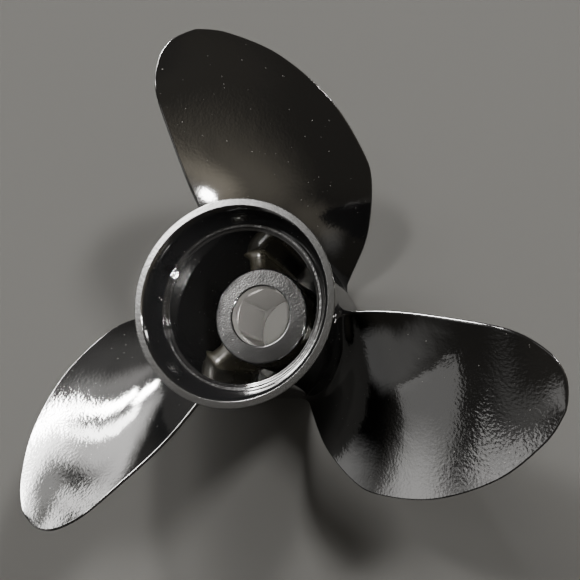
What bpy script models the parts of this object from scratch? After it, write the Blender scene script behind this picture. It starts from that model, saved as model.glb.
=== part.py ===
"""Outboard propeller: three raked blades cast with a barrel that exhaust gas leaves through.

Frame: metres, +Z aft along the shaft, origin on the shaft axis in the plane of the barrel's
front end. The blade called blade_1 points along +Y, and the others follow every third of a turn.
The real propeller is one aluminium casting. Its members are separate solids here, a seam apart.
"""
import math

import bmesh
import bpy

MM = 0.001
SEAM = 0.3 * MM
THIRD = math.tau / 3

# Barrel: a tapered outer tube that flares out to the aft rim
BARREL_LENGTH = 126.0 * MM
RIM_RADIUS = 54.0 * MM
FRONT_RADIUS = 42.5 * MM
BODY_AFT_RADIUS = 48.0 * MM
FLARE_LENGTH = 24.0 * MM
FLARE_POWER = 1.8
RIM_ROUND = 0.7 * MM
RIM_INNER_RADIUS = 50.2 * MM
LEDGE_DEPTH = 13.8 * MM
LEDGE_OUTER_RADIUS = 43.9 * MM
LEDGE_INNER_RADIUS = 40.7 * MM
LEDGE_ROUND = 0.6 * MM
PASSAGE_FRONT_RADIUS = 35.2 * MM

# Inner hub: a thick sleeve with a six-sided socket for the drive insert
HUB_AFT_DEPTH = 46.8 * MM
HUB_FRONT_RECESS = 3.0 * MM
HUB_AFT_RADIUS = 27.2 * MM
HUB_FRONT_RADIUS = 29.0 * MM
HUB_EDGE_ROUND = 1.0 * MM
HOLE_RADIUS = 17.1 * MM
HOLE_ROUND = 0.8 * MM
BORE_DEPTH = 8.2 * MM
SOCKET_START_DEPTH = 9.0 * MM
SOCKET_AFT_CORNER = 18.6 * MM
SOCKET_FRONT_CORNER = 19.2 * MM
SOCKET_FRONT_LEVEL = 22.0 * MM
SOCKET_LEAD_RADIUS = 23.5 * MM
SOCKET_CORNER_ANGLE = math.radians(16.5)

# Ribs between the inner hub and the barrel
RIB_WIDTH = 9.0 * MM
RIB_FIRST_ANGLE = math.radians(93.0)
RIB_AFT_SETBACK = 3.4 * MM
RIB_FRONT_SETBACK = 6.0 * MM

# Blades: a face of constant pitch and rake inside a drawn outline
PITCH = 408.0 * MM
RAKE_SLOPE = math.tan(math.radians(17.3))
TIP_RADIUS = 165.5 * MM
TIP_ANGLE = math.radians(94.8)
TIP_SETBACK = 16.0 * MM
ROOT_THICKNESS = 9.0 * MM
TIP_THICKNESS = 2.4 * MM
BULGE_POWER = 0.75
EDGE_THICKNESS = 1.8 * MM
NOSE_THICKNESS = 3.6 * MM
NOSE_END_RADIUS = 92.0 * MM
TIP_NARROWING = 0.9997
FILLET_RADIUS = 11.0 * MM
FACE_FILLET_AT_NOSE = 5.0 * MM
BACK_FILLET_AT_NOSE = 1.5 * MM
FILLET_AT_TAIL = 8.0 * MM
NOSE_FILLET_SHARE = 0.4
TAIL_FILLET_SHARE = 0.25

# Blade outline, millimetres across and up as seen from aft, from the barrel to the tip
TRAILING_OUTLINE = [(-11, 30), (-19, 47), (-29.5, 75), (-36.5, 107), (-39.8, 131), (-37, 148.5),
                    (-30.6, 158.6), (-21.6, 163.7)]
TIP_POINT = (-12.6, 165.1)
LEADING_OUTLINE = [(30, 19), (40.5, 30.5), (57, 53), (65.7, 80.5), (63.5, 98.5), (50.5, 126),
                   (27.2, 149.9), (3, 162.2)]

# How far the trailing edge rises off the even pitch, millimetres, at radii in millimetres: its cup
TRAILING_RISE = [(80, -3.3), (135, 2.0), (165, -1.1)]

# Mesh fineness
BARREL_SIDES = 96
HUB_SIDES = 72
RIB_STEPS = 4
CHORD_STEPS = 13
NOSE_STEPS = 3
SPAN_STEPS = 16
ROOT_PATCH_STEPS = 6
FILLET_ROWS = (0.0, 0.07, 0.25, 0.55)
OUTLINE_STEPS = 24
FOOT_PASSES = 12

PAINT_COLOUR = (0.010, 0.010, 0.011, 1.0)
PAINT_ROUGHNESS = 0.14


def clear_scene():
    """Remove whatever the open file holds, so that only this part is left."""
    for item in list(bpy.data.objects):
        bpy.data.objects.remove(item, do_unlink=True)


def make_paint():
    """Gloss black enamel, as sprayed over the whole casting."""
    paint = bpy.data.materials.new("gloss_black_enamel")
    paint.use_nodes = True
    shader = paint.node_tree.nodes["Principled BSDF"]
    shader.inputs["Base Color"].default_value = PAINT_COLOUR
    shader.inputs["Roughness"].default_value = PAINT_ROUGHNESS
    shader.inputs["Metallic"].default_value = 0.0
    return paint


def add_solid(name, verts, faces, paint):
    """Make one named object from points and faces, with every face turned outwards."""
    mesh = bpy.data.meshes.new(name)
    mesh.from_pydata(verts, [], faces)
    work = bmesh.new()
    work.from_mesh(mesh)
    bmesh.ops.recalc_face_normals(work, faces=work.faces)
    work.to_mesh(mesh)
    work.free()
    mesh.shade_smooth()
    mesh.set_sharp_from_angle(angle=math.radians(35))
    mesh.materials.append(paint)
    solid = bpy.data.objects.new(name, mesh)
    bpy.context.collection.objects.link(solid)
    return solid


def blend(start, end, share):
    """The value a given share of the way from start to end."""
    return start + (end - start) * share


def arc(centre_radius, centre_level, size, start_deg, end_deg, steps):
    """Points of a profile's rounded corner, as (radius, level)."""
    points = []
    for step in range(steps + 1):
        angle = math.radians(blend(start_deg, end_deg, step / steps))
        points.append((centre_radius + size * math.cos(angle), centre_level + size * math.sin(angle)))
    return points


def bridge_rings(rings):
    """Faces joining each ring of points to the next, and the last back to the first."""
    sides = len(rings[0])
    faces = []
    for ring in range(len(rings)):
        after = (ring + 1) % len(rings)
        for side in range(sides):
            turn = (side + 1) % sides
            here = (ring * sides + side, ring * sides + turn)
            faces.append(here + (after * sides + turn, after * sides + side))
    return faces


def barrel_outside(level):
    """Outer radius of the barrel at a height above its front end: a straight taper and a flare."""
    body = blend(FRONT_RADIUS, BODY_AFT_RADIUS, level / BARREL_LENGTH)
    into_flare = min(max(1 - (BARREL_LENGTH - level) / FLARE_LENGTH, 0.0), 1.0)
    return body + (RIM_RADIUS - BODY_AFT_RADIUS) * into_flare ** FLARE_POWER


def passage_radius(level):
    """Inner radius of the barrel ahead of the ledge, with its casting draft."""
    share = level / (BARREL_LENGTH - LEDGE_DEPTH)
    return blend(PASSAGE_FRONT_RADIUS, LEDGE_INNER_RADIUS, share)


def hub_outside(level):
    """Outer radius of the inner hub, with its casting draft."""
    share = (level - HUB_FRONT_RECESS) / (BARREL_LENGTH - HUB_AFT_DEPTH - HUB_FRONT_RECESS)
    return blend(HUB_FRONT_RADIUS, HUB_AFT_RADIUS, share)


def make_barrel(paint):
    """The flared tube: outside, flat aft end, sloping mouth, ledge and exhaust passage."""
    outside_levels = [0.0, BARREL_LENGTH / 2]
    outside_levels += [BARREL_LENGTH - FLARE_LENGTH * share for share in (1.0, 0.8, 0.6, 0.42, 0.25, 0.1)]
    profile = [(barrel_outside(level), level) for level in outside_levels]
    profile += arc(RIM_RADIUS - RIM_ROUND, BARREL_LENGTH - RIM_ROUND, RIM_ROUND, 0, 90, 2)
    profile.append((RIM_INNER_RADIUS, BARREL_LENGTH))
    ledge_level = BARREL_LENGTH - LEDGE_DEPTH
    profile.append((LEDGE_OUTER_RADIUS, ledge_level))
    profile.append((LEDGE_INNER_RADIUS + LEDGE_ROUND, ledge_level))
    profile.append((LEDGE_INNER_RADIUS, ledge_level - LEDGE_ROUND))
    profile.append((PASSAGE_FRONT_RADIUS, 0.0))
    rings = []
    for radius, level in profile:
        angles = [math.tau * side / BARREL_SIDES for side in range(BARREL_SIDES)]
        rings.append([(radius * math.cos(a), radius * math.sin(a), level) for a in angles])
    points = [point for ring in rings for point in ring]
    return add_solid("outer_barrel", points, bridge_rings(rings), paint)


def socket_radius(corner, angle):
    """Distance from the axis to a six-sided wall whose corners lie at the given radius."""
    sixth = math.tau / 6
    from_flat = (angle - SOCKET_CORNER_ANGLE) % sixth - sixth / 2
    return corner * math.cos(sixth / 2) / math.cos(from_flat)


def make_hub(paint):
    """The inner hub: a drafted sleeve whose short round bore leads into the six-sided socket."""
    aft_level = BARREL_LENGTH - HUB_AFT_DEPTH
    outer = [(HUB_FRONT_RADIUS, HUB_FRONT_RECESS)]
    outer += arc(HUB_AFT_RADIUS - HUB_EDGE_ROUND, aft_level - HUB_EDGE_ROUND, HUB_EDGE_ROUND, 0, 90, 4)
    outer.append((HOLE_RADIUS + HOLE_ROUND, aft_level))
    outer.append((HOLE_RADIUS, aft_level - HOLE_ROUND))
    outer.append((HOLE_RADIUS, aft_level - BORE_DEPTH))
    angles = [SOCKET_CORNER_ANGLE + math.tau * side / HUB_SIDES for side in range(HUB_SIDES)]
    rings = []
    for radius, level in outer:
        rings.append([(radius * math.cos(a), radius * math.sin(a), level) for a in angles])
    socket = [(SOCKET_AFT_CORNER, aft_level - SOCKET_START_DEPTH), (SOCKET_FRONT_CORNER, SOCKET_FRONT_LEVEL)]
    for corner, level in socket:
        wall = [socket_radius(corner, a) for a in angles]
        rings.append([(r * math.cos(a), r * math.sin(a), level) for r, a in zip(wall, angles)])
    lead = SOCKET_LEAD_RADIUS
    rings.append([(lead * math.cos(a), lead * math.sin(a), HUB_FRONT_RECESS) for a in angles])
    points = [point for ring in rings for point in ring]
    return add_solid("inner_hub", points, bridge_rings(rings), paint)


def make_rib(name, angle, paint):
    """One radial web, with its two long ends curved to the hub and to the barrel."""
    front = RIB_FRONT_SETBACK
    aft = BARREL_LENGTH - HUB_AFT_DEPTH - HUB_EDGE_ROUND - RIB_AFT_SETBACK
    rings = []
    for level in (front, aft):
        inner = hub_outside(level) + SEAM
        outer = passage_radius(level) - SEAM
        ring = []
        for step in range(RIB_STEPS + 1):
            across = RIB_WIDTH * (step / RIB_STEPS - 0.5)
            ring.append((math.sqrt(inner * inner - across * across), across, level))
        for step in range(RIB_STEPS, -1, -1):
            across = RIB_WIDTH * (step / RIB_STEPS - 0.5)
            ring.append((math.sqrt(outer * outer - across * across), across, level))
        rings.append(ring)
    count = len(rings[0])
    faces = [(i, (i + 1) % count, count + (i + 1) % count, count + i) for i in range(count)]
    for step in range(RIB_STEPS):
        near = (step, step + 1, count - 2 - step, count - 1 - step)
        faces.append(near)
        faces.append(tuple(count + i for i in near))
    cosine, sine = math.cos(angle), math.sin(angle)
    turned = [(x * cosine - y * sine, x * sine + y * cosine, z) for x, y, z in rings[0] + rings[1]]
    return add_solid(name, turned, faces, paint)


def smooth_curve(points, steps):
    """A Catmull-Rom curve through the points, with the end stretches left straight-ended."""
    padded = [points[0]] + list(points) + [points[-1]]
    curve = []
    for index in range(len(points) - 1):
        a, b, c, d = padded[index:index + 4]
        for step in range(steps):
            t = step / steps
            curve.append(tuple(0.5 * (2 * q + (r - p) * t + (2 * p - 5 * q + 4 * r - s) * t ** 2
                               + (3 * q - p - 3 * r + s) * t ** 3) for p, q, r, s in zip(a, b, c, d)))
    curve.append(tuple(points[-1]))
    return curve


def edge_angles():
    """The outline as two lists of (radius, angle), trailing and leading, rising to the tip."""
    whole = TRAILING_OUTLINE + [TIP_POINT] + LEADING_OUTLINE[::-1]
    curve = smooth_curve(whole, OUTLINE_STEPS)
    polar = [(math.hypot(x, y) * MM, math.atan2(y, x)) for x, y in curve]
    top = max(range(len(polar)), key=lambda i: polar[i][0])
    return polar[:top + 1], polar[top:][::-1]


def angle_at(edge, radius):
    """Angle of an edge of the outline at a radius, between its two nearest points."""
    for (r0, a0), (r1, a1) in zip(edge, edge[1:]):
        if r0 <= radius <= r1:
            return blend(a0, a1, (radius - r0) / max(r1 - r0, 1e-9))
    return edge[-1][1] if radius > edge[-1][0] else edge[0][1]


def face_level(radius, angle):
    """Height of the pressure face: constant pitch round the axis and constant rake outwards."""
    tip_level = BARREL_LENGTH - TIP_SETBACK
    return tip_level + PITCH * (angle - TIP_ANGLE) / math.tau + RAKE_SLOPE * (radius - TIP_RADIUS)


def trailing_rise(radius):
    """Height of the trailing edge off the even pitch, eased from one given radius to the next."""
    rises = [(r * MM, rise * MM) for r, rise in TRAILING_RISE]
    for (r0, rise0), (r1, rise1) in zip(rises, rises[1:]):
        share = min(max((radius - r0) / (r1 - r0), 0.0), 1.0)
        if share < 1.0:
            return blend(rise0, rise1, share * share * (3 - 2 * share))
    return rises[-1][1]


def nose_thickness(radius):
    """Thickness at the leading edge, which is blunt near the barrel and thin further out."""
    share = min(max((NOSE_END_RADIUS - radius) / (NOSE_END_RADIUS - FRONT_RADIUS), 0.0), 1.0)
    return blend(EDGE_THICKNESS, NOSE_THICKNESS, share)


def fillet_size(share, at_nose):
    """Radius of the root fillet at a share of the way from the leading to the trailing edge."""
    near_nose = blend(at_nose, FILLET_RADIUS, min(share / NOSE_FILLET_SHARE, 1.0))
    near_tail = blend(FILLET_AT_TAIL, FILLET_RADIUS, min((1 - share) / TAIL_FILLET_SHARE, 1.0))
    return min(near_nose, near_tail)


def section(radius, fillet, edges):
    """One closed blade section on a cylinder, as (distance round, height) pairs.

    The pressure side is straight but for the cup of the trailing edge, the other side bulges,
    and both ends are round. A fillet swells the whole section by the given share of its radius.
    """
    trailing, leading = (angle_at(edge, radius) for edge in edges)
    span_share = min(max((radius - FRONT_RADIUS) / (TIP_RADIUS - FRONT_RADIUS), 0.0), 1.0)
    thickest = blend(ROOT_THICKNESS, TIP_THICKNESS, span_share)
    nose = nose_thickness(radius)
    slope = PITCH / (math.tau * radius)
    along = (1 / math.hypot(1, slope), slope / math.hypot(1, slope))
    across = (-along[1], along[0])
    chord = (trailing - leading) * radius / along[0]
    origin = (leading * radius, face_level(radius, leading))
    cup = trailing_rise(radius)
    loop = []

    def place(distance, lift):
        rise = cup * max(distance / chord, 0.0) ** 2
        loop.append((origin[0] + along[0] * distance + across[0] * lift,
                     origin[1] + along[1] * distance + across[1] * lift + rise))

    start = nose / 2
    end = chord - EDGE_THICKNESS / 2
    for step in range(CHORD_STEPS + 1):
        share = step / CHORD_STEPS
        place(blend(start, end, share), fillet * fillet_size(share, FACE_FILLET_AT_NOSE))
    for step in range(1, NOSE_STEPS):
        turn = math.pi / 2 - math.pi * step / NOSE_STEPS
        size = EDGE_THICKNESS / 2 + fillet * FILLET_AT_TAIL
        place(end + size * math.cos(turn), size * math.sin(turn) - EDGE_THICKNESS / 2)
    for step in range(CHORD_STEPS, -1, -1):
        share = step / CHORD_STEPS
        end_thickness = blend(nose, EDGE_THICKNESS, share)
        bulge = (thickest - end_thickness) * max(4 * share * (1 - share), 0.0) ** BULGE_POWER
        swell = fillet * fillet_size(share, BACK_FILLET_AT_NOSE)
        place(blend(start, end, share), -end_thickness - bulge - swell)
    for step in range(1, NOSE_STEPS):
        turn = -math.pi / 2 - math.pi * step / NOSE_STEPS
        size = nose / 2 + fillet * BACK_FILLET_AT_NOSE
        rise = nose / 2 + fillet * (FACE_FILLET_AT_NOSE if math.sin(turn) > 0 else BACK_FILLET_AT_NOSE)
        place(start + size * math.cos(turn), rise * math.sin(turn) - nose / 2)
    return loop


def fillet_share(height):
    """How far a quarter-round fillet stands out at a height above the barrel, from 1 down to 0."""
    if height >= FILLET_RADIUS:
        return 0.0
    rest = 1 - height / FILLET_RADIUS
    return 1 - math.sqrt(max(1 - rest * rest, 0.0))


def blade_rows(edges):
    """Rows of blade points from the barrel's surface to the tip, each row a closed section."""
    count = 2 * (CHORD_STEPS + 1) + 2 * (NOSE_STEPS - 1)
    reach = edges[0][-1][0]
    roots = []
    for index in range(count):
        radius = FRONT_RADIUS
        for _ in range(FOOT_PASSES):
            radius = barrel_outside(section(radius, 1.0, edges)[index][1]) + SEAM
        roots.append(radius)
    heights = [FILLET_RADIUS * share for share in FILLET_ROWS]
    shares = [1 - (1 - step / SPAN_STEPS) ** 2 for step in range(SPAN_STEPS)]
    first = FILLET_RADIUS / (reach - FRONT_RADIUS)
    rows = []
    for height in heights:
        rows.append([blade_point(root + height, height, index, edges) for index, root in enumerate(roots)])
    for share in [blend(first, 1.0, s) for s in shares] + [TIP_NARROWING]:
        row = []
        for index, root in enumerate(roots):
            radius = blend(root, reach, share)
            row.append(blade_point(radius, radius - root, index, edges))
        rows.append(row)
    return rows


def blade_point(radius, height, index, edges):
    """One point of the blade as (radius, angle, level)."""
    round_way, level = section(radius, fillet_share(height), edges)[index]
    return (radius, round_way / radius, level)


def root_patch(bottom):
    """Rows that close the blade's foot over the barrel, between its two sides."""
    half = len(bottom) // 2
    left = bottom[:half]
    right = bottom[half:][::-1]
    rows = []
    for step in range(1, ROOT_PATCH_STEPS):
        row = []
        for (_, a0, z0), (_, a1, z1) in zip(left, right):
            level = blend(z0, z1, step / ROOT_PATCH_STEPS)
            row.append((barrel_outside(level) + SEAM, blend(a0, a1, step / ROOT_PATCH_STEPS), level))
        rows.append(row)
    return rows


def make_blade(name, turn, paint):
    """One blade: sections from foot to tip, closed by a curved foot and a narrow tip."""
    rows = blade_rows(edge_angles())
    count = len(rows[0])
    half = count // 2
    points = [point for row in rows for point in row]
    faces = []
    for row in range(len(rows) - 1):
        for i in range(count):
            j = (i + 1) % count
            faces.append((row * count + i, row * count + j, (row + 1) * count + j, (row + 1) * count + i))
    faces.append(tuple((len(rows) - 1) * count + i for i in range(count)))
    patch_start = len(points)
    patch = root_patch(rows[0])
    points += [point for row in patch for point in row]
    lines = [list(range(half))]
    lines += [[patch_start + row * half + i for i in range(half)] for row in range(len(patch))]
    lines.append([count - 1 - i for i in range(half)])
    for low, high in zip(lines, lines[1:]):
        for i in range(half - 1):
            faces.append((low[i], low[i + 1], high[i + 1], high[i]))
    faces.append(tuple(line[0] for line in lines))
    faces.append(tuple(line[-1] for line in lines))
    verts = [(r * math.cos(a + turn), r * math.sin(a + turn), z) for r, a, z in points]
    return add_solid(name, verts, faces, paint)


def build():
    """Make every member of the propeller."""
    clear_scene()
    paint = make_paint()
    make_barrel(paint)
    make_hub(paint)
    for index in range(3):
        make_rib(f"rib_{index + 1}", RIB_FIRST_ANGLE + THIRD * index, paint)
        make_blade(f"blade_{index + 1}", THIRD * index, paint)


build()
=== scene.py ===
"""Outboard propeller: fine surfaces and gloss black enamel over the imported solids.

Metres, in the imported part's frame: +Z runs aft along the shaft, the origin is on the shaft axis
in the plane of the barrel's front end, and blade_1 points along +Y.
"""
import math

import bmesh
import bpy
import numpy as np
from mathutils import Matrix, Vector


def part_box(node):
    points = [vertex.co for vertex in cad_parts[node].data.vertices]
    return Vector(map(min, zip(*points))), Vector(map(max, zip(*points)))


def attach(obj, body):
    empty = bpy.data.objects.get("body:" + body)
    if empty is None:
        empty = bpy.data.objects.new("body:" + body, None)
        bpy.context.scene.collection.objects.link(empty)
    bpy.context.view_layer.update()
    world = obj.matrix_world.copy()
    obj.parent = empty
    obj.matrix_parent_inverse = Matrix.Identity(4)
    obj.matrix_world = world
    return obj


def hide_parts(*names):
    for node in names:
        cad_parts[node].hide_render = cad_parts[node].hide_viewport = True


MM = 0.001
THIRD = math.tau / 3

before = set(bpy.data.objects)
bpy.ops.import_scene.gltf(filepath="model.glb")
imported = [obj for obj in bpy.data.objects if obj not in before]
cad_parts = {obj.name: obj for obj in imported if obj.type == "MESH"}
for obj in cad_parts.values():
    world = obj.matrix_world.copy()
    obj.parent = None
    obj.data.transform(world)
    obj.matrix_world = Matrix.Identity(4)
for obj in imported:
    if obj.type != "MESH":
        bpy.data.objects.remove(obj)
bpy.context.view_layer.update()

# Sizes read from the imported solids
BARREL_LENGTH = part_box("outer_barrel")[1].z
RIM_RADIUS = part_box("outer_barrel")[1].x
HUB_FRONT_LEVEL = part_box("inner_hub")[0].z
HUB_AFT_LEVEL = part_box("inner_hub")[1].z

# Barrel, as in the solids
FRONT_RADIUS = 42.5 * MM
BODY_AFT_RADIUS = 48.0 * MM
FLARE_LENGTH = 24.0 * MM
FLARE_POWER = 1.8
RIM_INNER_RADIUS = 50.2 * MM
LEDGE_LEVEL = BARREL_LENGTH - 13.8 * MM
LEDGE_OUTER_RADIUS = 43.9 * MM
LEDGE_INNER_RADIUS = 40.7 * MM
PASSAGE_FRONT_RADIUS = 35.2 * MM

# Barrel, finer than in the solids: curved lip, the ledge's own small step, corner rounds, worn rim
LIP_SLOPE = math.radians(48.0)
MOUTH_SLOPE = math.radians(20.0)
LIP_RADIUS = 9.6 * MM
LEDGE_STEP_RADIUS = LEDGE_INNER_RADIUS + 1.5 * MM
LEDGE_STEP_FOOT_RADIUS = LEDGE_INNER_RADIUS + 1.3 * MM
LEDGE_STEP_DEPTH = 0.9 * MM
LEDGE_DROP = 1.2 * MM
LEDGE_TILT = 0.1 * MM
RIM_OUTER_ROUND = 0.75 * MM
RIM_INNER_ROUND = 0.7 * MM
LEDGE_ROUND = 0.4 * MM
LEDGE_STEP_FOOT_ROUND = 0.3 * MM
LEDGE_INNER_ROUND = 0.55 * MM
FRONT_END_ROUND = 0.6 * MM
OUTSIDE_START_LEVEL = 1.0 * MM
OUTSIDE_END_DEPTH = 1.4 * MM
PASSAGE_START_LEVEL = 2.0 * MM
PASSAGE_START_ROUND = 0.1 * MM
RUBBED_DEPTH = 0.12 * MM
# The passage below the ledge takes part of the thinly sprayed coat: rougher enamel, and a lighter colour
# that is a painted sheen on its wall.
DULL_AND_SHEEN_START_DEPTH = 2.0 * MM
PASSAGE_DULL_AND_SHEEN = 0.25

# Inner hub and socket, as in the solids
HUB_AFT_RADIUS = 27.2 * MM
HUB_FRONT_RADIUS = 29.0 * MM
HOLE_RADIUS = 17.1 * MM
BORE_DEPTH = 8.2 * MM
SOCKET_START_DEPTH = 9.0 * MM
SOCKET_AFT_CORNER = 18.6 * MM
SOCKET_FRONT_CORNER = 19.2 * MM
SOCKET_FRONT_LEVEL = 22.0 * MM
SOCKET_LEAD_RADIUS = 23.5 * MM
SOCKET_CORNER_ANGLE = math.radians(16.5)

# Inner hub, finer than in the solids: steeper lead-in, grooves, rounds, and where stretches start
SOCKET_LEAD_SLOPE = 0.56
SOCKET_LEAD_ROUND = 0.5 * MM
GROOVE_DEPTH = 0.7 * MM
GROOVE_WIDTH = 0.8 * MM
HUB_AFT_ROUND = 0.9 * MM
HUB_FRONT_ROUND = 0.6 * MM
HUB_RIM_DEPTH = 1.0 * MM
HUB_FRONT_FLAT = 3 * MM
BORE_START_DEPTH = 1.1 * MM
BORE_GUARD_DEPTH = 2.0 * MM
BARE_FADE_DEPTH = 2.0 * MM
FLATS_START_STEP = 1 * MM
FLATS_END_HEIGHT = 8 * MM
LEAD_START_HEIGHT = 7.6 * MM

# Ribs, as in the solids
RIB_WIDTH = 9.0 * MM
RIB_FIRST_ANGLE = math.radians(93.0)
RIB_AFT_LEVEL = HUB_AFT_LEVEL - 4.4 * MM
RIB_FRONT_LEVEL = 6.0 * MM

# Ribs, finer than in the solids: fillets, a round aft end and its swell towards the barrel
RIB_FILLET = 4.0 * MM
RIB_END_ROUND = 3.6 * MM
RIB_END_SWELL = 0.6
RIB_WALL_OVERLAP = 0.3 * MM

# Blades, as in the solids
PITCH = 408.0 * MM
RAKE_SLOPE = math.tan(math.radians(17.3))
TIP_RADIUS = 165.5 * MM
TIP_ANGLE = math.radians(94.8)
TIP_SETBACK = 16.0 * MM
ROOT_THICKNESS = 9.0 * MM
TIP_THICKNESS = 2.4 * MM
BULGE_POWER = 0.75
EDGE_THICKNESS = 1.8 * MM
NOSE_THICKNESS = 3.6 * MM
NOSE_END_RADIUS = 92.0 * MM
FILLET_RADIUS = 11.0 * MM
FACE_FILLET_AT_NOSE = 5.0 * MM
BACK_FILLET_AT_NOSE = 1.5 * MM
FILLET_AT_TAIL = 8.0 * MM
NOSE_FILLET_SHARE = 0.4
TAIL_FILLET_SHARE = 0.25
TRAILING_OUTLINE = [(-11, 30), (-19, 47), (-29.5, 75), (-36.5, 107), (-39.8, 131), (-37, 148.5),
                    (-30.6, 158.6), (-21.6, 163.7)]
TIP_POINT = (-12.6, 165.1)
LEADING_OUTLINE = [(30, 19), (40.5, 30.5), (57, 53), (65.7, 80.5), (63.5, 98.5), (50.5, 126),
                   (27.2, 149.9), (3, 162.2)]
TRAILING_RISE = [(80, -3.3), (135, 2.0), (165, -1.1)]

# Blades, finer than in the solids: the trim keeps their smooth outline within the solids' box
OUTLINE_TRIM = 0.9989
EDGE_ROUND = 1.0 * MM
FOOT_LEVEL = 0.9 * MM
ROOT_SINK = 0.01 * MM
ROOT_SKIRT = 1.5 * MM
RIPPLES_START = 95.0 * MM
RIPPLES_FULL = 140.0 * MM

# How finely the surfaces are drawn, and how corner curves keep to their stretches
BARREL_SIDES = 320
BARREL_LEVELS = 70
LIP_STEPS = 16
HUB_SIDES = 360
HUB_CORNER_STEPS = 12
BORE_LEVELS = 6
STEP_LEVELS = 7
FLATS_LEVELS = 12
LEAD_LEVELS = 60
RIB_ROWS = 41
RIB_ARC_STEPS = 12
RIB_SIDE_LEVELS = 14
OUTLINE_STEPS = 60
BLADE_COLUMNS = 150
BLADE_FILLET_ROWS = 16
BLADE_SPAN_ROWS = 130
ROOT_ROUNDS = 14
TIP_CROWDING = 2.2
CURVE_SHARE = 0.42
GUARD_REACH = 1.15

# Enamel: colours, gloss from smooth to smeared, and orange peel as its height and size
ENAMEL_BLACK = (0.0018, 0.0018, 0.0019, 1)
# Colour of the thinly sprayed coat: its own tone on the hub's wall and the webs, and in the barrel's
# passage also a painted sheen.
DRY_COAT_AND_SHEEN_COLOUR = (0.0045, 0.0041, 0.0028, 1)
DUST_GREY = (0.12, 0.117, 0.11, 1)
BARREL_PEEL = (0.05 * MM, 1.8 * MM)
HUB_PEEL = (0.09 * MM, 1.1 * MM)
BLADE_PEEL = (0.08 * MM, 1.6 * MM)
WAVINESS = 0.3
BARREL_WAVINESS = 0.2
RUBBED_RIM = ((0.004, 0.004, 0.0038, 1), 0.2)
BARE_SOCKET = ((0.07, 0.068, 0.065, 1), 0.5)
COAT_GLOSS = (0.04, 0.1)
HUB_GLOSS = (0.1, 0.18)
DRY_GLOSS = (0.16, 0.42)
DUST_ROUGHNESS = 0.7
DUST_GRID = 340.0
DUST_SIZE = 0.08
FLOW_WAVE_HEIGHT = 0.25 * MM
FLOW_WAVE_SCALE = 90.0
SMEAR_SCALE = 26.0
PATCH_SCALE = 14.0

# Floor
FLOOR_GREY = (0.036, 0.0356, 0.0342, 1)
FLOOR_HALF_SIDE = 1.6
FLOOR_GRAIN_SCALE = 1400.0
FLOOR_GRAIN_HEIGHT = 0.05 * MM

# Camera, where the photograph was taken from
CAMERA_PLACE = (0.1250, -0.0780, 0.4672)
CAMERA_AHEAD = (-0.26785, 0.19692, -0.94312)
CAMERA_UP = (0.13348, 0.97703, 0.16609)
CAMERA_LENS = 45.77
CAMERA_SHIFT = (0.0087, 0.0293)
CAMERA_SENSOR = 36
CAMERA_CLIP = (0.01, 20)

# Lights: the flat ones all face one point from one distance, and one lamp is at the camera
LIGHT_DISTANCE = 8.0
LIGHT_AIM = Vector((0, 0, 0.08))
WHITE = (1.0, 0.985, 0.96)
OLIVE = (1.0, 0.90, 0.72)
MOUTH_LAMP_POWER = 60.0
MOUTH_LAMP_ANGLE = math.radians(13.5)
MOUTH_LAMP_BLEND = 0.25
MOUTH_LAMP_SIZE = 12 * MM
MOUTH_LAMP_COLOUR = (1.0, 0.98, 0.94)
MOUTH_LAMP_AIM = Vector((-4 * MM, -2 * MM, BARREL_LENGTH))


def blend(start, end, share):
    """The value a given share of the way from start to end, for numbers and arrays alike."""
    return start + (end - start) * share


def ease(share):
    """A share from 0 to 1 with a flat start and a flat end: 3 s squared less 2 s cubed."""
    share = np.clip(share, 0.0, 1.0)
    return share * share * (3 - 2 * share)


def grid_faces(rows, columns, close_columns=False, close_rows=False):
    """Four-sided faces of a grid of points that are numbered row by row."""
    row = np.arange(rows if close_rows else rows - 1)
    column = np.arange(columns if close_columns else columns - 1)
    row, column = np.meshgrid(row, column, indexing="ij")
    next_row = (row + 1) % rows
    next_column = (column + 1) % columns
    corners = [row * columns + column, row * columns + next_column,
               next_row * columns + next_column, next_row * columns + column]
    return np.stack(corners, -1).reshape(-1, 4)


def enclosed_volume(points, faces):
    """Signed volume inside four-sided faces: a sum of slim pyramids down to the origin."""
    a, b, c, d = (points[faces[:, i]] for i in range(4))
    halves = np.einsum("ij,ij->", a, np.cross(b, c)) + np.einsum("ij,ij->", a, np.cross(c, d))
    return halves / 6


def make_piece(name, points, faces, paint, marks=None):
    """A smooth piece from a grid of points, its faces turned outwards and its seams merged."""
    points = np.asarray(points, float).reshape(-1, 3)
    if enclosed_volume(points, faces) < 0:
        faces = faces[:, ::-1]
    mesh = bpy.data.meshes.new(name)
    mesh.from_pydata(points.tolist(), [], faces.tolist())
    for mark, values in (marks or {}).items():
        layer = mesh.attributes.new(mark, "FLOAT", "POINT")
        layer.data.foreach_set("value", np.asarray(values, np.float32).ravel())
    piece = bpy.data.objects.new(name, mesh)
    bpy.context.scene.collection.objects.link(piece)
    merge_seams(mesh)
    mesh.shade_smooth()
    mesh.materials.append(paint)
    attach(piece, "root")
    return piece


def merge_seams(mesh):
    """Join points that fall on one another along seams and at poles."""
    work = bmesh.new()
    work.from_mesh(mesh)
    bmesh.ops.remove_doubles(work, verts=work.verts, dist=1e-6)
    work.to_mesh(mesh)
    work.free()


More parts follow.
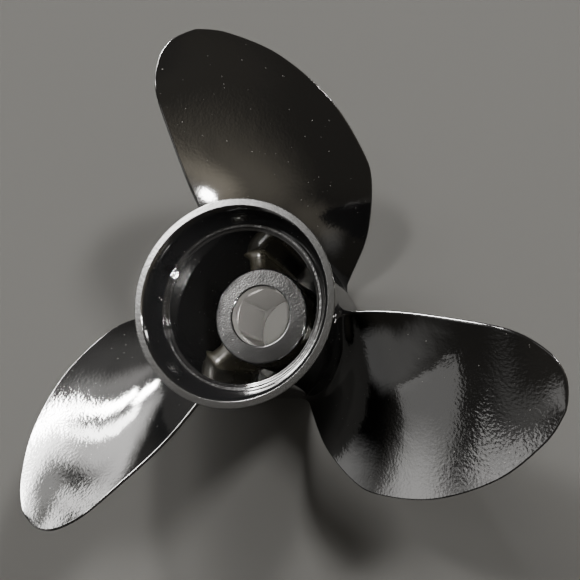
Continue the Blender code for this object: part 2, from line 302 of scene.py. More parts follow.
def rounded_profile(corners, steps=7):
    """Points of a run of straight stretches with rounded corners, as (radius, level).

    A corner is (radius, level, reach): the curve leaves one stretch and joins the next at that
    distance from the corner, or at a set share of a short stretch, along a parabola that touches
    both. Two points a little way off each curve keep the shading of the stretches straight.
    """
    run = [np.array(corners[0][:2], float)[None]]
    for before, here, after in zip(corners, corners[1:], corners[2:]):
        corner = np.array(here[:2], float)
        ways = [np.array(end[:2], float) - corner for end in (before, after)]
        lengths = [np.hypot(*way) for way in ways]
        reach = min(here[2], CURVE_SHARE * lengths[0], CURVE_SHARE * lengths[1])
        start, end = (corner + way / length * reach for way, length in zip(ways, lengths))
        share = np.linspace(0, 1, steps)[:, None]
        curve = start * (1 - share) ** 2 + 2 * corner * share * (1 - share) + end * share ** 2
        guard = [(corner + way / length * reach * GUARD_REACH)[None]
                 for way, length in zip(ways, lengths)]
        run += [guard[0], curve, guard[1]]
    run.append(np.array(corners[-1][:2], float)[None])
    return np.concatenate(run)


def turned(profile, sides):
    """Grid of points of a profile turned once round the shaft axis: one row for each side."""
    angle = math.tau * np.arange(sides)[:, None] / sides
    radius, level = profile[:, 0], profile[:, 1]
    return np.stack([radius * np.cos(angle), radius * np.sin(angle), level + 0 * angle], -1)


def barrel_outside(level):
    """Outer radius of the barrel: a straight taper, and a flare that grows as a power of its run."""
    body = blend(FRONT_RADIUS, BODY_AFT_RADIUS, level / BARREL_LENGTH)
    into_flare = np.clip(1 - (BARREL_LENGTH - level) / FLARE_LENGTH, 0.0, 1.0)
    return body + (RIM_RADIUS - BODY_AFT_RADIUS) * into_flare ** FLARE_POWER


def passage_radius(level):
    """Inner radius of the exhaust passage, with its casting draft."""
    return blend(PASSAGE_FRONT_RADIUS, LEDGE_INNER_RADIUS, level / LEDGE_LEVEL)


def hub_outside(level):
    """Outer radius of the inner hub, with its casting draft."""
    share = (level - HUB_FRONT_LEVEL) / (HUB_AFT_LEVEL - HUB_FRONT_LEVEL)
    return blend(HUB_FRONT_RADIUS, HUB_AFT_RADIUS, share)


def mouth_lip():
    """The lip inside the rim: an arc that leaves the flat rim at a slope and ends at the mouth's own.

    A slope is the angle between the profile and the shaft axis, so a turn by a small angle moves
    the profile in by the arc's radius times the sine and down by the radius times the cosine.
    """
    slope = np.linspace(LIP_SLOPE, MOUTH_SLOPE, LIP_STEPS)
    radius = RIM_INNER_RADIUS - LIP_RADIUS * (np.cos(slope) - math.cos(LIP_SLOPE))
    level = BARREL_LENGTH - LIP_RADIUS * (math.sin(LIP_SLOPE) - np.sin(slope))
    return np.stack([radius, level], -1)


def make_barrel(paint):
    """The barrel: flared outside, flat rim, curved lip, sloping mouth, double ledge and passage."""
    top = BARREL_LENGTH
    levels = np.linspace(OUTSIDE_START_LEVEL, top - OUTSIDE_END_DEPTH, BARREL_LEVELS)
    outside = np.stack([barrel_outside(levels), levels], -1)
    lip = mouth_lip()
    rim = rounded_profile([
        (outside[-1][0], outside[-1][1], 0),
        (RIM_RADIUS, top, RIM_OUTER_ROUND),
        (RIM_INNER_RADIUS, top, RIM_INNER_ROUND),
        (lip[1][0], lip[1][1], 0),
    ])
    inside = rounded_profile([
        (lip[-1][0], lip[-1][1], 0),
        (LEDGE_OUTER_RADIUS, LEDGE_LEVEL + LEDGE_TILT, LEDGE_ROUND),
        (LEDGE_STEP_RADIUS, LEDGE_LEVEL, LEDGE_ROUND),
        (LEDGE_STEP_FOOT_RADIUS, LEDGE_LEVEL - LEDGE_STEP_DEPTH, LEDGE_STEP_FOOT_ROUND),
        (LEDGE_INNER_RADIUS, LEDGE_LEVEL - LEDGE_DROP, LEDGE_INNER_ROUND),
        (passage_radius(PASSAGE_START_LEVEL), PASSAGE_START_LEVEL, PASSAGE_START_ROUND),
        (PASSAGE_FRONT_RADIUS, 0.0, FRONT_END_ROUND),
        (FRONT_RADIUS, 0.0, FRONT_END_ROUND),
        (outside[0][0], outside[0][1], 0),
    ])
    profile = np.concatenate([outside, rim[1:-1], lip[1:-1], inside[:-1]])
    radius, level = profile[:, 0], profile[:, 1]
    points = turned(profile, BARREL_SIDES)
    rubbed = np.where(level > top - RUBBED_DEPTH, 1.0, 0.0)
    # In the passage the thin coat is mixed in at a share: rougher enamel, and its lighter colour is a
    # painted sheen on the passage wall.
    in_passage = (level < LEDGE_LEVEL - DULL_AND_SHEEN_START_DEPTH) & (radius < LEDGE_INNER_RADIUS)
    dry_coat_and_sheen = np.where(in_passage, PASSAGE_DULL_AND_SHEEN, 0.0)
    marks = {"rubbed": np.broadcast_to(rubbed, points.shape[:2]),
             "dry_coat_and_sheen": np.broadcast_to(dry_coat_and_sheen, points.shape[:2])}
    faces = grid_faces(BARREL_SIDES, len(profile), close_columns=True, close_rows=True)
    piece = make_piece("barrel", points, faces, paint, marks)
    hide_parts("outer_barrel")


def socket_wall(angle, level):
    """Radius of the hole's wall: a short round bore, then a hexagon with grooved corners.

    The hexagon's wall is the flat's distance over the cosine of the angle from the flat's middle,
    and each groove is a bell curve of the distance round from its corner. At the front a widening
    cone takes over where it is the wider, through half the sum of both walls, their difference
    and a rounding: the root of the difference squared plus the rounding squared.
    """
    sixth = math.tau / 6
    from_flat = (angle - SOCKET_CORNER_ANGLE) % sixth - sixth / 2
    start = HUB_AFT_LEVEL - SOCKET_START_DEPTH
    down = np.clip((start - level) / (start - SOCKET_FRONT_LEVEL), 0.0, 1.0)
    corner = blend(SOCKET_AFT_CORNER, SOCKET_FRONT_CORNER, down)
    hexagon = corner * math.cos(sixth / 2) / np.cos(from_flat)
    from_corner = (sixth / 2 - np.abs(from_flat)) * corner
    hexagon = hexagon + GROOVE_DEPTH * np.exp(-(from_corner / GROOVE_WIDTH) ** 2)
    depth = HUB_AFT_LEVEL - level
    wall = blend(HOLE_RADIUS, hexagon, ease((depth - BORE_DEPTH) / (SOCKET_START_DEPTH - BORE_DEPTH)))
    cone = SOCKET_FRONT_CORNER + SOCKET_LEAD_SLOPE * (SOCKET_FRONT_LEVEL - level)
    wider = np.sqrt((cone - wall) ** 2 + SOCKET_LEAD_ROUND ** 2)
    return np.minimum((wall + cone + wider) / 2, SOCKET_LEAD_RADIUS)


def make_hub(paint):
    """The inner hub: drafted sleeve, rounded aft face, round hole and six-sided socket."""
    outside = rounded_profile([
        (HUB_FRONT_RADIUS - HUB_FRONT_FLAT, HUB_FRONT_LEVEL, 0),
        (HUB_FRONT_RADIUS, HUB_FRONT_LEVEL, HUB_FRONT_ROUND),
        (HUB_AFT_RADIUS, HUB_AFT_LEVEL, HUB_AFT_ROUND),
        (HOLE_RADIUS, HUB_AFT_LEVEL, HUB_AFT_ROUND),
        (HOLE_RADIUS, HUB_AFT_LEVEL - BORE_GUARD_DEPTH, 0),
    ], HUB_CORNER_STEPS)[:-1]
    angle = math.tau * np.arange(HUB_SIDES)[:, None] / HUB_SIDES
    bore = HUB_AFT_LEVEL - np.linspace(BORE_START_DEPTH, BORE_DEPTH, BORE_LEVELS)
    step = HUB_AFT_LEVEL - np.linspace(BORE_DEPTH, SOCKET_START_DEPTH, STEP_LEVELS)[1:]
    flats = np.linspace(HUB_AFT_LEVEL - SOCKET_START_DEPTH - FLATS_START_STEP,
                        SOCKET_FRONT_LEVEL + FLATS_END_HEIGHT, FLATS_LEVELS)
    lead = np.linspace(SOCKET_FRONT_LEVEL + LEAD_START_HEIGHT, HUB_FRONT_LEVEL, LEAD_LEVELS)
    levels = np.concatenate([bore, step, flats, lead])
    radius = socket_wall(angle, levels)
    level = levels + 0 * radius
    inside = np.stack([radius * np.cos(angle), radius * np.sin(angle), level], -1)
    points = np.concatenate([turned(outside, HUB_SIDES), inside], 1)
    bare = np.concatenate([np.zeros(len(outside)), ease((HUB_AFT_LEVEL - levels) / BARE_FADE_DEPTH)])
    wall = np.zeros(points.shape[1])
    wall[:len(outside)] = outside[:, 1] < HUB_AFT_LEVEL - HUB_RIM_DEPTH
    marks = {"rubbed": np.broadcast_to(bare, points.shape[:2]),
             "dry_coat_and_sheen": np.broadcast_to(wall, points.shape[:2])}
    faces = grid_faces(HUB_SIDES, points.shape[1], close_columns=True, close_rows=True)
    piece = make_piece("drive_hub", points, faces, paint, marks)
    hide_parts("inner_hub")


def quarter_round(height, size):
    """How far a quarter-round fillet of a size stands out at a height above its wall, 1 down to 0."""
    rest = np.clip(1 - height / size, 0.0, 1.0)
    return 1 - np.sqrt(np.maximum(1 - rest * rest, 0.0))


def make_rib(number, angle, paint):
    """A radial web between hub and barrel, with a rounded aft end and fillets at both walls.

    Rows run from the hub's wall to the barrel's, and columns go round the web's own section: up
    one side, over the aft end on two quarter circles, down the other side and across the front.
    """
    even = np.linspace(0, 1, RIB_ROWS)
    span = blend(0.5 - 0.5 * np.cos(np.pi * even), even, 0.3)[:, None]
    reach = passage_radius(RIB_AFT_LEVEL) - hub_outside(RIB_AFT_LEVEL)
    to_wall = np.minimum(span, 1 - span) * reach
    flare = RIB_FILLET * quarter_round(to_wall, RIB_FILLET)
    half = RIB_WIDTH / 2 + flare
    aft = RIB_AFT_LEVEL + RIB_END_SWELL * flare * (span > 0.5)
    turn = np.linspace(0, np.pi / 2, RIB_ARC_STEPS)
    rise = np.linspace(0, 1, RIB_SIDE_LEVELS)[:-1]
    level_up = blend(RIB_FRONT_LEVEL, aft - RIB_END_ROUND, rise)
    across_up = -half + 0 * level_up
    across_arc = -(half - RIB_END_ROUND) - RIB_END_ROUND * np.cos(turn)
    level_arc = aft - RIB_END_ROUND + RIB_END_ROUND * np.sin(turn)
    across = np.concatenate([across_up, across_arc, -across_arc[:, ::-1], -across_up[:, ::-1]], 1)
    level = np.concatenate([level_up, level_arc, level_arc[:, ::-1], level_up[:, ::-1]], 1)
    inner = np.sqrt((hub_outside(level) - RIB_WALL_OVERLAP) ** 2 - across ** 2)
    outer = np.sqrt((passage_radius(level) + RIB_WALL_OVERLAP) ** 2 - across ** 2)
    out = blend(inner, outer, span)
    x = out * math.cos(angle) - across * math.sin(angle)
    y = out * math.sin(angle) + across * math.cos(angle)
    points = np.stack([x, y, level], -1)
    rows, columns = points.shape[:2]
    faces = grid_faces(rows, columns, close_columns=True)
    piece = make_piece(f"web_{number}", points, faces, paint, {"dry_coat_and_sheen": np.ones((rows, columns))})
    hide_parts(f"rib_{number}")


def smooth_curve(points, steps):
    """A Catmull-Rom curve through the points, as an array with one point a row."""
    points = np.array(points, float)
    padded = np.concatenate([points[:1], points, points[-1:]])
    a, b, c, d = (padded[i:len(padded) - 3 + i, None] for i in range(4))
    t = (np.arange(steps) / steps)[None, :, None]
    bend, twist = 2 * a - 5 * b + 4 * c - d, 3 * b - a - 3 * c + d
    curve = 0.5 * (2 * b + (c - a) * t + bend * t ** 2 + twist * t ** 3)
    return np.concatenate([curve.reshape(-1, 2), points[-1:]])


def blade_edges():
    """The outline's trailing and leading halves, each as rising radii and the angles there."""
    outline = TRAILING_OUTLINE + [TIP_POINT] + LEADING_OUTLINE[::-1]
    curve = smooth_curve(outline, OUTLINE_STEPS) * MM * OUTLINE_TRIM
    radius = np.hypot(curve[:, 0], curve[:, 1])
    angle = np.arctan2(curve[:, 1], curve[:, 0])
    top = int(radius.argmax())
    return (radius[:top + 1], angle[:top + 1]), (radius[top:][::-1], angle[top:][::-1])


def face_level(radius, angle):
    """Height of the even pressure face: constant pitch round the axis and constant rake outwards."""
    tip_level = BARREL_LENGTH - TIP_SETBACK
    return tip_level + PITCH * (angle - TIP_ANGLE) / math.tau + RAKE_SLOPE * (radius - TIP_RADIUS)


def trailing_rise(radius):
    """Height of the trailing edge off the even pitch: eased from one given radius to the next."""
    (r0, rise0), (r1, rise1), (r2, rise2) = ((r * MM, rise * MM) for r, rise in TRAILING_RISE)
    inner = blend(rise0, rise1, ease((radius - r0) / (r1 - r0)))
    outer = blend(rise1, rise2, ease((radius - r1) / (r2 - r1)))
    return np.where(radius < r1, inner, outer)


def blade_place(radius, share, lift, edges):
    """Places on or off a blade's face, at a radius, a share of the chord and a lift off the face.

    A section lies on a cylinder round the shaft. Unrolled, it is a straight chord at the pitch's
    slope, with the cup added as the square of the share, and the lift goes square to the chord.
    """
    trailing = np.interp(radius, *edges[0])
    leading = np.interp(radius, *edges[1])
    slope = PITCH / (math.tau * radius)
    size = np.hypot(1, slope)
    angle = blend(leading, trailing, share) - lift * slope / size / radius
    level = face_level(radius, blend(leading, trailing, share)) + lift / size
    return angle, level + trailing_rise(radius) * share ** 2


def fillet_size(share, at_nose):
    """Radius of the root fillet at a share of the way from the leading to the trailing edge."""
    near_nose = blend(at_nose, FILLET_RADIUS, ease(share / NOSE_FILLET_SHARE))
    near_tail = blend(FILLET_AT_TAIL, FILLET_RADIUS, ease((1 - share) / TAIL_FILLET_SHARE))
    return np.minimum(near_nose, near_tail)


def thickness(radius, share):
    """Blade thickness: thin straight edges, and between them a bulge that thins towards the tip."""
    span = np.clip((radius - FRONT_RADIUS) / (TIP_RADIUS - FRONT_RADIUS), 0.0, 1.0)
    thickest = blend(ROOT_THICKNESS, TIP_THICKNESS, span)
    blunt = ease((NOSE_END_RADIUS - radius) / (NOSE_END_RADIUS - FRONT_RADIUS))
    nose = blend(EDGE_THICKNESS, NOSE_THICKNESS, blunt)
    edge = blend(nose, EDGE_THICKNESS, share)
    return edge + (thickest - edge) * np.maximum(4 * share * (1 - share), 0.0) ** BULGE_POWER


def distance_to_outline(radius, share, edges):
    """Distance along the face from each point to the nearest point of the blade's outline."""
    top = edges[0][0][-1]
    rim_radius = np.concatenate([edges[0][0], edges[1][0][::-1]])
    rim_angle = np.concatenate([edges[0][1], edges[1][1][::-1]])
    rim = np.stack([rim_radius * np.cos(rim_angle), rim_radius * np.sin(rim_angle),
                    face_level(rim_radius, rim_angle)], -1)
    angle = blend(np.interp(radius, *edges[1]), np.interp(radius, *edges[0]), share)
    here = np.stack([radius * np.cos(angle), radius * np.sin(angle), face_level(radius, angle)], -1)
    starts, runs = rim[:-1], rim[1:] - rim[:-1]
    nearest = np.full(radius.shape, top)
    for start, run in zip(starts, runs):
        along = np.clip((here - start) @ run / max(run @ run, 1e-12), 0.0, 1.0)
        gap = np.linalg.norm(here - start - along[..., None] * run, axis=-1)
        nearest = np.minimum(nearest, gap)
    return nearest


def make_blade(number, paint):
    """One blade: two skins that meet in a rounded edge, and a root that flares into the barrel.

    Rows rise from the barrel's wall to the tip and columns cross from the leading to the trailing
    edge on the pressure side, then back on the other. Both crowd together towards the edges. The
    wall under each column is found in a few rounds, because the barrel widens as the blade climbs,
    and the first row lies inside it.
    """
    columns = BLADE_COLUMNS
    edges = blade_edges()
    reach = edges[0][0][-1]
    share = 0.5 - 0.5 * np.cos(np.pi * np.linspace(0, 1, columns))
    share = np.concatenate([share, share[::-1]])
    side = np.where(np.arange(2 * columns) < columns, 1.0, -1.0)
    at_nose = blend(BACK_FILLET_AT_NOSE, FACE_FILLET_AT_NOSE, np.arange(2 * columns) < columns)
    size = fillet_size(share, at_nose)

    def lift_at(radius, height):
        """How far off the face each skin lies at a height above the wall, and half the edge."""
        half_edge = np.minimum(thickness(radius, share), EDGE_THICKNESS) / 2
        swell = size * quarter_round(height, size)
        return np.where(side > 0, swell, -thickness(radius, share) - swell), half_edge

    root = np.full(2 * columns, FRONT_RADIUS)
    for _ in range(ROOT_ROUNDS):
        lift, _ = lift_at(root, 0.0 * root)
        root = barrel_outside(blade_place(root, share, lift, edges)[1]) - ROOT_SINK
    fillet = FILLET_RADIUS * (1 - np.cos(np.linspace(0, np.pi / 2, BLADE_FILLET_ROWS)))
    climb = 1 - (1 - np.linspace(0, 1, BLADE_SPAN_ROWS + 1)[1:]) ** TIP_CROWDING
    first = fillet[-1]
    height = np.concatenate([[-ROOT_SKIRT], fillet])[:, None] * np.ones(2 * columns)
    upper = blend(root + first, reach, climb[:, None]) - root
    height = np.concatenate([height, upper])
    radius = np.minimum(root + height, reach)
    height = np.maximum(height, 0.0)
    lift, half_edge = lift_at(radius, height)
    gap = distance_to_outline(radius, share, edges)
    drop = half_edge * (1 - np.sqrt(np.clip(1 - (1 - np.clip(gap / EDGE_ROUND, 0, 1)) ** 2, 0, 1)))
    rooted = quarter_round(height, size)
    lift = lift - side * drop * (1 - np.clip(3 * rooted, 0, 1))
    angle, level = blade_place(radius, share, lift, edges)
    angle = angle + THIRD * (number - 1)
    points = np.stack([radius * np.cos(angle), radius * np.sin(angle), np.maximum(level, FOOT_LEVEL)], -1)
    faces = grid_faces(len(radius), 2 * columns, close_columns=True)
    foot = np.arange(columns - 1)
    opposite = 2 * columns - 1 - foot
    foot_faces = np.stack([foot + 1, foot, opposite, opposite - 1], -1)
    outward = ease((radius - RIPPLES_START) / (RIPPLES_FULL - RIPPLES_START))
    all_faces = np.concatenate([faces, foot_faces])
    piece = make_piece(f"screw_blade_{number}", points, all_faces, paint, {"outward": outward})
    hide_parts(f"blade_{number}")


class Nodes:
    """A small helper that adds nodes to a material and links them."""

    def __init__(self, name):
        self.paint = bpy.data.materials.new(name)
        self.paint.use_nodes = True
        self.tree = self.paint.node_tree
        self.shader = self.tree.nodes["Principled BSDF"]

    def add(self, kind, inputs=None, **settings):
        """Add a node, set its settings, and set or link its inputs."""
        node = self.tree.nodes.new(kind)
        for key, value in settings.items():
            setattr(node, key, value)
        for key, value in (inputs or {}).items():
            self.feed(node.inputs[key], value)
        return node

    def feed(self, socket, value):
        """Link an output to a socket, or set the socket's own value."""
        if isinstance(value, bpy.types.NodeSocket):
            self.tree.links.new(value, socket)
        else:
            socket.default_value = value

    def spread(self, value, before, after):
        """Stretch one range of values onto another, and hold it at both ends."""
        node = self.add("ShaderNodeMapRange", {"Value": value, "From Min": before[0], "From Max": before[1],
                                               "To Min": after[0], "To Max": after[1]})
        return node.outputs["Result"]

    def product(self, first, second):
        """Multiply two values."""
        return self.add("ShaderNodeMath", {0: first, 1: second}, operation="MULTIPLY").outputs[0]

    def mix_numbers(self, share, first, second):
        """Mix two numbers by a share."""
        node = self.add("ShaderNodeMix", {"Factor": share, "A": first, "B": second})
        return node.outputs["Result"]

    def mix_colours(self, share, first, second):
        """Mix two colours by a share."""
        node = self.add("ShaderNodeMix", {"Factor": share, "A": first, "B": second}, data_type="RGBA")
        return node.outputs["Result"]


def enamel(name, peel, waviness=WAVINESS, rubbed=None, outward=False, gloss=COAT_GLOSS):
    """Gloss black enamel: orange peel, faint flow waves, smears in the gloss and settled dust.

    The orange peel is given by its height and size. The attribute named rubbed shows the finish
    given as rubbed, a colour and a roughness. The second attribute marks a drier, thinly sprayed
    coat, rougher and a little lighter, whose lighter colour in the barrel's passage is a painted
    sheen, and the one named outward makes the orange peel stronger towards a blade's tip.
    """
    nodes = Nodes(name)
    peel_height, peel_size = peel
    place = nodes.add("ShaderNodeTexCoord").outputs["Object"]
    dimples = nodes.add("ShaderNodeTexNoise", {"Vector": place, "Scale": 1 / peel_size,
                                               "Detail": 2.0, "Roughness": 0.45})
    flow = nodes.add("ShaderNodeTexNoise", {"Vector": place, "Scale": FLOW_WAVE_SCALE, "Detail": 1.0})
    smears = nodes.add("ShaderNodeTexNoise", {"Vector": place, "Scale": SMEAR_SCALE, "Detail": 4.0})
    patches = nodes.add("ShaderNodeTexNoise", {"Vector": place, "Scale": PATCH_SCALE, "Detail": 1.0})
    strength = nodes.spread(patches.outputs["Fac"], (0.35, 0.65), (0.35, 1.0))
    if outward:
        far = nodes.add("ShaderNodeAttribute", attribute_name="outward").outputs["Fac"]
        grown = nodes.spread(far, (0.0, 1.0), (0.4, 1.0))
        strength = nodes.product(strength, grown)
    waves = nodes.add("ShaderNodeBump", {"Height": flow.outputs["Fac"], "Strength": waviness,
                                         "Distance": FLOW_WAVE_HEIGHT})
    skin = nodes.add("ShaderNodeBump", {"Height": dimples.outputs["Fac"], "Strength": strength,
                                        "Distance": peel_height, "Normal": waves.outputs["Normal"]})
    grains = nodes.add("ShaderNodeTexVoronoi", {"Vector": place, "Scale": DUST_GRID})
    near = nodes.add("ShaderNodeMath", {0: grains.outputs["Distance"], 1: DUST_SIZE}, operation="LESS_THAN")
    few = nodes.add("ShaderNodeSeparateColor", {"Color": grains.outputs["Color"]})
    some = nodes.spread(few.outputs["Red"], (0.4, 0.0), (0.0, 1.0))
    dust = nodes.product(near.outputs[0], some)
    # The thin coat's mark: rougher and a little lighter, and in the barrel's passage its lighter colour is
    # a painted sheen.
    dry_and_sheen = nodes.add("ShaderNodeAttribute", attribute_name="dry_coat_and_sheen").outputs["Fac"]
    shade = nodes.mix_colours(dry_and_sheen, ENAMEL_BLACK, DRY_COAT_AND_SHEEN_COLOUR)
    shade = nodes.mix_colours(dust, shade, DUST_GREY)
    shine = nodes.spread(smears.outputs["Fac"], (0.3, 0.7), gloss)
    drier = nodes.spread(smears.outputs["Fac"], (0.35, 0.65), DRY_GLOSS)
    rough = nodes.mix_numbers(dry_and_sheen, shine, drier)
    rough = nodes.mix_numbers(dust, rough, DUST_ROUGHNESS)
    if rubbed:
        worn = nodes.add("ShaderNodeAttribute", attribute_name="rubbed").outputs["Fac"]
        shade = nodes.mix_colours(worn, shade, rubbed[0])
        rough = nodes.mix_numbers(worn, rough, rubbed[1])
    nodes.feed(nodes.shader.inputs["Base Color"], shade)
    nodes.feed(nodes.shader.inputs["Roughness"], rough)
    nodes.feed(nodes.shader.inputs["Normal"], skin.outputs["Normal"])
    return nodes.paint


def make_floor():
    """The plain, fine-grained floor that the propeller stands on."""
    nodes = Nodes("pale_floor")
    place = nodes.add("ShaderNodeTexCoord").outputs["Object"]
    grain = nodes.add("ShaderNodeTexNoise", {"Vector": place, "Scale": FLOOR_GRAIN_SCALE, "Detail": 1.0})
    fine = nodes.add("ShaderNodeBump", {"Height": grain.outputs["Fac"], "Strength": 0.3,
                                        "Distance": FLOOR_GRAIN_HEIGHT})
    nodes.feed(nodes.shader.inputs["Base Color"], FLOOR_GREY)
    nodes.feed(nodes.shader.inputs["Roughness"], 1.0)
    nodes.feed(nodes.shader.inputs["Specular IOR Level"], 0.0)
    nodes.feed(nodes.shader.inputs["Normal"], fine.outputs["Normal"])
    mesh = bpy.data.meshes.new("floor")
    half = FLOOR_HALF_SIDE
    corners = [(-half, -half, 0), (half, -half, 0), (half, half, 0), (-half, half, 0)]
    mesh.from_pydata(corners, [], [(0, 1, 2, 3)])
    mesh.materials.append(nodes.paint)
    floor = bpy.data.objects.new("floor", mesh)
    bpy.context.scene.collection.objects.link(floor)


def bearing(azimuth, slant):
    """The unit vector at an azimuth from +X round the shaft axis and a slant down from overhead."""
    azimuth, slant = math.radians(azimuth), math.radians(slant)
    out = math.sin(slant)
    return Vector((out * math.cos(azimuth), out * math.sin(azimuth), math.cos(slant)))


def make_light(name, low_end, high_end, wide, brightness, gloss=True, shade=True, shape="RECTANGLE"):
    """A soft flat light that faces the part and runs from one bearing to another.

    It is given by both ends' azimuth and slant and by its width, in degrees. Its power is its
    brightness times pi times its area, so that its brightness in a reflection stays the same when
    its size changes. It can be left out of reflections or of plain shading.
    """
    low, high = bearing(*low_end), bearing(*high_end)
    ray, tall = (low + high).normalized(), (high - low).normalized()
    light = bpy.data.lights.new(name, "AREA")
    light.shape = shape
    light.size = 2 * LIGHT_DISTANCE * math.tan(math.radians(wide / 2))
    light.size_y = 2 * LIGHT_DISTANCE * math.tan(low.angle(high) / 2)
    light.energy = brightness * math.pi * light.size * light.size_y
    light.color = WHITE
    lamp = bpy.data.objects.new(name, light)
    turn = Matrix((tall.cross(ray), tall, ray)).transposed()
    lamp.matrix_world = Matrix.Translation(LIGHT_AIM + ray * LIGHT_DISTANCE) @ turn.to_4x4()
    lamp.visible_glossy = gloss
    lamp.visible_diffuse = shade
    bpy.context.scene.collection.objects.link(lamp)


def make_mouth_lamp():
    """A small soft lamp at the camera that shines down the mouth and through the hub's hole."""
    light = bpy.data.lights.new("mouth_lamp", "SPOT")
    light.energy = MOUTH_LAMP_POWER
    light.spot_size = MOUTH_LAMP_ANGLE
    light.spot_blend = MOUTH_LAMP_BLEND
    light.shadow_soft_size = MOUTH_LAMP_SIZE
    light.color = MOUTH_LAMP_COLOUR
    lamp = bpy.data.objects.new("mouth_lamp", light)
    lamp.location = CAMERA_PLACE
    lamp.rotation_euler = (MOUTH_LAMP_AIM - lamp.location).to_track_quat("-Z", "Y").to_euler()
    bpy.context.scene.collection.objects.link(lamp)


class Sky:
    """The room's light as a function of direction, built up from soft patches.

    Azimuth runs round the shaft axis from +X and slant down from straight above, as on a globe.
    """

    def __init__(self, name):
        self.world = bpy.data.worlds.new(name)
        self.world.use_nodes = True
        self.tree = self.world.node_tree
        self.back = self.tree.nodes["Background"]
        split = self.tree.nodes.new("ShaderNodeSeparateXYZ")
        place = self.tree.nodes.new("ShaderNodeTexCoord")
        self.tree.links.new(place.outputs["Generated"], split.inputs[0])
        self.azimuth = self.work_out("ARCTAN2", split.outputs["Y"], split.outputs["X"])
        self.slant = self.work_out("ARCCOSINE", split.outputs["Z"])
        self.light = None

    def work_out(self, operation, *values):
        """One step of arithmetic on outputs and numbers."""
        node = self.tree.nodes.new("ShaderNodeMath")
        node.operation = operation
        for socket, value in zip(node.inputs, values):
            if isinstance(value, bpy.types.NodeSocket):
                self.tree.links.new(value, socket)
            else:
                socket.default_value = value
        return node.outputs[0]

    def add(self, azimuth, slant, wide, high, brightness, colour, edge, lean=0.0):
        """Add a patch: an oval in azimuth and slant, in degrees, that fades out across its outline.

        The edge is the share of its size over which it fades, to either side of the outline. Its
        own line across drops by the lean for each degree of azimuth.
        """
        off = self.work_out("SUBTRACT", self.azimuth, math.radians(azimuth))
        off = self.work_out("WRAP", off, math.pi, -math.pi)
        across = self.work_out("DIVIDE", off, math.radians(wide))
        down = self.work_out("SUBTRACT", self.slant, math.radians(slant))
        down = self.work_out("SUBTRACT", down, self.work_out("MULTIPLY", off, lean))
        down = self.work_out("DIVIDE", down, math.radians(high))
        across = self.work_out("POWER", self.work_out("ABSOLUTE", across), 2.0)
        down = self.work_out("POWER", self.work_out("ABSOLUTE", down), 2.0)
        far = self.work_out("SQRT", self.work_out("ADD", across, down))
        fade = self.tree.nodes.new("ShaderNodeMapRange")
        fade.interpolation_type = "SMOOTHSTEP"
        self.tree.links.new(far, fade.inputs["Value"])
        fade.inputs["From Min"].default_value = 1 - edge
        fade.inputs["From Max"].default_value = 1 + edge
        fade.inputs["To Min"].default_value = brightness
        fade.inputs["To Max"].default_value = 0.0
        tint = self.tree.nodes.new("ShaderNodeVectorMath")
        tint.operation = "SCALE"
        tint.inputs[0].default_value = colour
        self.tree.links.new(fade.outputs["Result"], tint.inputs["Scale"])
        self.pile(tint.outputs["Vector"])

    def pile(self, output):
        """Add one more light to the sum."""
        if self.light is not None:
            both = self.tree.nodes.new("ShaderNodeVectorMath")
            self.tree.links.new(self.light, both.inputs[0])
            self.tree.links.new(output, both.inputs[1])
            output = both.outputs["Vector"]
        self.light = output

    def finish(self):
        """Hand the sum to the background."""
        self.tree.links.new(self.light, self.back.inputs["Color"])
        self.back.inputs["Strength"].default_value = 1.0
        bpy.context.scene.world = self.world


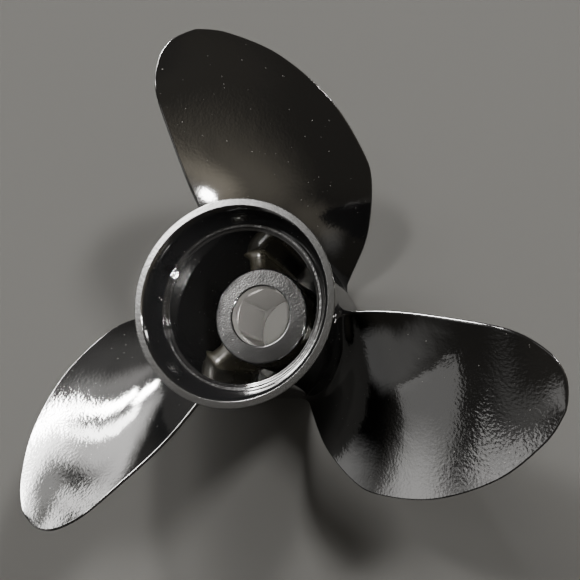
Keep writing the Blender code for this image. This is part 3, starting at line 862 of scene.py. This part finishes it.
def make_lights():
    """A tall window to the upper left, panels and lamps round about, and the soft glow of a room.

    The two keys only shade, and give the floor its shadow. The lights marked shade=False are seen
    in the enamel and leave the shadow dark.
    """
    make_light("window_left", (115.1, 80.5), (115.1, 59), 2.6, 330)
    make_light("window_foot", (117.6, 89), (117.2, 81), 3.0, 300)
    make_light("window_top", (117.8, 64.5), (117.4, 51), 4.2, 300, shade=False)
    make_light("window_frame", (120.4, 82), (120.4, 55), 2.6, 100)
    make_light("window_upper", (121.5, 56), (124, 47), 9, 90, shade=False)
    make_light("ceiling_lamp", (138, 37), (138, 29), 9, 120, shade=False, shape="ELLIPSE")
    make_light("ceiling_panel", (150, 48), (150, 31), 17, 1.3)
    make_light("low_panel", (183, 69), (206, 75.5), 13, 2.1)
    make_light("small_panel", (202, 62), (202, 52), 8, 5)
    make_light("side_lamp", (18.3, 63.6), (18.3, 58), 6, 260, shade=False, shape="ELLIPSE")
    make_light("far_lamp", (28, 86), (28, 75), 6, 50)
    make_light("overhead_lamp", (-32, 16), (-32, 4), 12, 6)
    make_light("key_left", (115, 44), (115, 36), 8, 320, gloss=False)
    make_light("key_right", (32, 54), (32, 46), 8, 540, gloss=False)
    make_mouth_lamp()
    sky = Sky("room_glow")
    sky.add(0, 0, 360, 92, 0.13, OLIVE, 0.04)
    sky.add(0, 0, 360, 57, 0.09, OLIVE, 0.12)
    sky.add(10, 36, 26, 20, 0.13, OLIVE, 0.5)
    sky.add(10, 57, 8, 9, 3, OLIVE, 0.9)
    sky.add(-8, 56, 20, 12, 1.3, OLIVE, 0.8)
    sky.add(-40, 68, 13, 7, 0.9, OLIVE, 0.6)
    sky.add(-50, 75, 6, 6, 0.7, WHITE, 0.8)
    sky.add(-60, 58.5, 10, 2.5, 0.45, WHITE, 0.8, 0.45)
    sky.add(123, 58, 5, 7, 70, WHITE, 0.8)
    sky.add(131, 52, 8, 5, 45, WHITE, 0.8)
    sky.add(138, 71, 9, 3, 20, WHITE, 0.6, -0.65)
    sky.add(123.5, 75, 4, 13, 12, WHITE, 0.8)
    sky.add(147, 62, 3.5, 5, 24, WHITE, 0.7)
    sky.add(134, 63, 7, 5, 5, WHITE, 0.6)
    sky.add(142, 28.3, 12, 5.2, 17, WHITE, 0.3)
    sky.add(109, 75, 3, 14, 3, WHITE, 0.8)
    sky.add(101, 72, 8, 14, 0.8, WHITE, 0.7)
    sky.add(187, 68.5, 7, 7, 5, WHITE, 0.8, 0.3)
    sky.add(194, 57, 4, 5, 5, WHITE, 0.6)
    sky.add(213, 84, 10, 11.5, 1.05, WHITE, 0.3)
    sky.add(209, 42, 9, 5, 2.2, WHITE, 0.5)
    sky.add(211, 52, 6, 7, 0.9, WHITE, 0.8)
    sky.add(176, 86, 7, 10, 2.4, WHITE, 0.8)
    sky.finish()


def make_camera():
    """The camera at the photograph's place, turned by its line of sight and its upward line."""
    ahead, up = Vector(CAMERA_AHEAD).normalized(), Vector(CAMERA_UP).normalized()
    right = ahead.cross(up).normalized()
    up = right.cross(ahead)
    turn = Matrix((right, up, -ahead)).transposed()
    lens = bpy.data.cameras.new("camera")
    lens.lens = CAMERA_LENS
    lens.sensor_width = CAMERA_SENSOR
    lens.shift_x, lens.shift_y = CAMERA_SHIFT
    lens.clip_start, lens.clip_end = CAMERA_CLIP
    camera = bpy.data.objects.new("camera", lens)
    camera.matrix_world = Matrix.Translation(CAMERA_PLACE) @ turn.to_4x4()
    bpy.context.scene.collection.objects.link(camera)
    bpy.context.scene.camera = camera


make_camera()
make_lights()
make_floor()
barrel_enamel = enamel("barrel_enamel", BARREL_PEEL, BARREL_WAVINESS, rubbed=RUBBED_RIM)
hub_enamel = enamel("hub_enamel", HUB_PEEL, rubbed=BARE_SOCKET, gloss=HUB_GLOSS)
blade_enamel = enamel("blade_enamel", BLADE_PEEL, outward=True)
make_barrel(barrel_enamel)
make_hub(hub_enamel)
for index in range(3):
    make_rib(index + 1, RIB_FIRST_ANGLE + THIRD * index, hub_enamel)
    make_blade(index + 1, blade_enamel)
